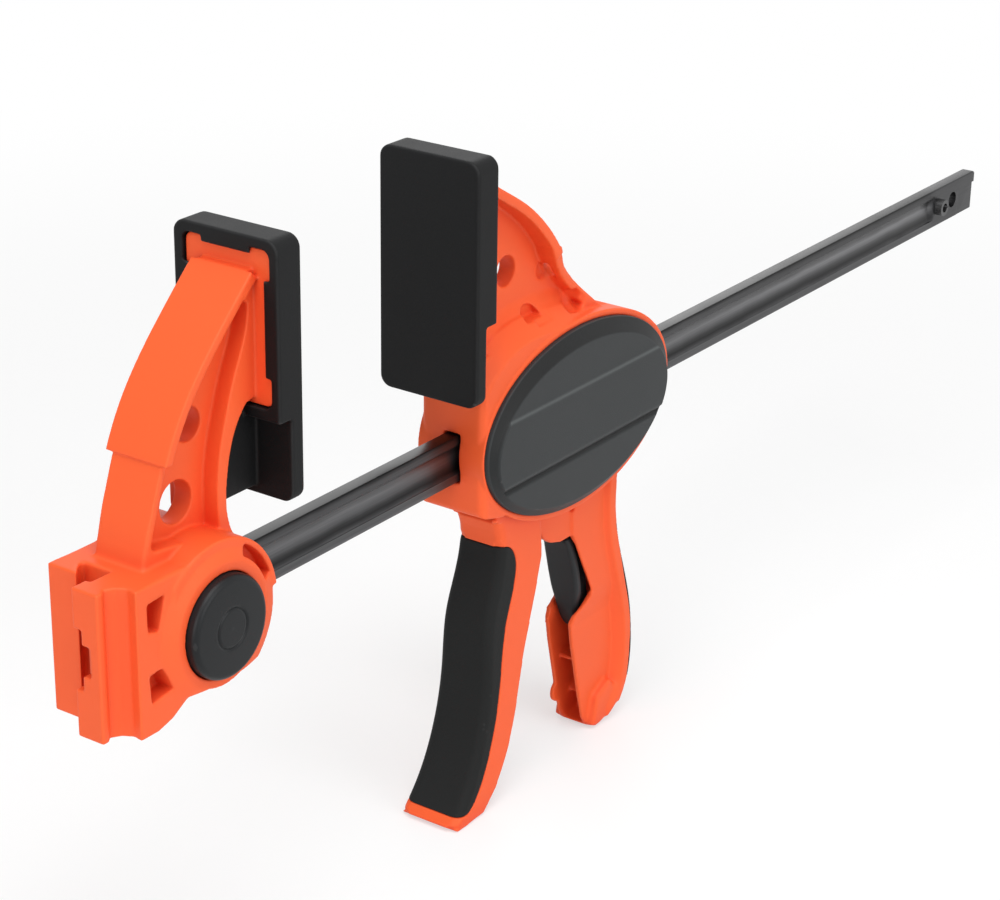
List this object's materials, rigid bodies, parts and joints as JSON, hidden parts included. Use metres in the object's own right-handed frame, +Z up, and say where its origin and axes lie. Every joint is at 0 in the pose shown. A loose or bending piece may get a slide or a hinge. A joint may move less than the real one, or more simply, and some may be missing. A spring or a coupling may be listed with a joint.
{
  "type": "quick release bar clamp",
  "caption": "One-handed bar clamp: a fixed jaw and a sliding jaw on an I-section steel bar, with a squeeze lever, a release trigger and deep padded jaw faces.",
  "frame": {"origin": "on the bar's centre line, in the plane of the fixed pad's clamping face", "axes": "+X along the bar from the fixed jaw to the free end, +Z up to the jaw faces, +Y across, away from the push button's side"},
  "size_m": [0.5379, 0.0401, 0.2311],
  "materials": {
    "orange_nylon": "satin moulded",
    "pad_rubber": "matt",
    "grip_rubber": "matt",
    "grey_plastic": "satin moulded",
    "trigger_plastic": "satin moulded",
    "button_plastic": "satin moulded",
    "bar_steel": "black phosphate",
    "pin_steel": "zinc plated",
    "plate_steel": "hardened"
  },
  "bodies": {
    "bar_and_fixed_jaw": {"bar": "bar_steel", "end_stop_pin": "pin_steel", "fixed_jaw": "orange_nylon", "fixed_pad": "pad_rubber", "button_cap": "orange_nylon", "button_spring": "pin_steel"},
    "button": {"push_button": "button_plastic", "lock_plunger": "pin_steel"},
    "moving_jaw": {"moving_jaw_body": "orange_nylon", "moving_pad": "pad_rubber", "badge_cover_near": "grey_plastic", "badge_cover_far": "grey_plastic", "handle_backstrap": "grip_rubber", "lever_pivot_pin": "pin_steel", "brake_fulcrum_pin": "pin_steel", "drive_spring": "pin_steel", "brake_spring": "pin_steel"},
    "squeeze_lever": {"pump_lever": "orange_nylon", "lever_grip": "grip_rubber"},
    "plates": {"drive_plate_1": "plate_steel", "drive_plate_2": "plate_steel", "drive_plate_3": "plate_steel"},
    "release": {"brake_lever": "plate_steel", "release_trigger": "trigger_plastic"}
  },
  "joints": [
    {"name": "jaw_slide", "type": "slide", "parent": "bar_and_fixed_jaw", "child": "moving_jaw", "axis": [1, 0, 0], "range_m": [-0.0822, 0.2227]},
    {"name": "lever_hinge", "type": "hinge", "parent": "moving_jaw", "child": "squeeze_lever", "pos_m": [0.118, 0, 0.018], "axis": [0, -1, 0], "range_deg": [0, 14], "stiffness_Nm_per_rad": 1.6, "springref_deg": -8.59},
    {"name": "plates_slide", "type": "slide", "parent": "moving_jaw", "child": "plates", "axis": [1, 0, 0], "range_m": [0, 0.0088], "deforming": ["drive_spring"]},
    {"name": "release_hinge", "type": "hinge", "parent": "moving_jaw", "child": "release", "pos_m": [0.16, 0, 0.0155], "axis": [0, -1, 0], "range_deg": [0, 5], "stiffness_Nm_per_rad": 0.8, "springref_deg": -5.73, "deforming": ["brake_spring"]},
    {"name": "button_press", "type": "slide", "parent": "bar_and_fixed_jaw", "child": "button", "axis": [0, 1, 0], "range_m": [0, 0.003], "stiffness_N_per_m": 900, "springref_m": -0.003, "deforming": ["button_spring"]}
  ],
  "couplings": [
    {"joint": "plates_slide", "follows": "lever_hinge", "m_per_rad": 0.0355}
  ]
}
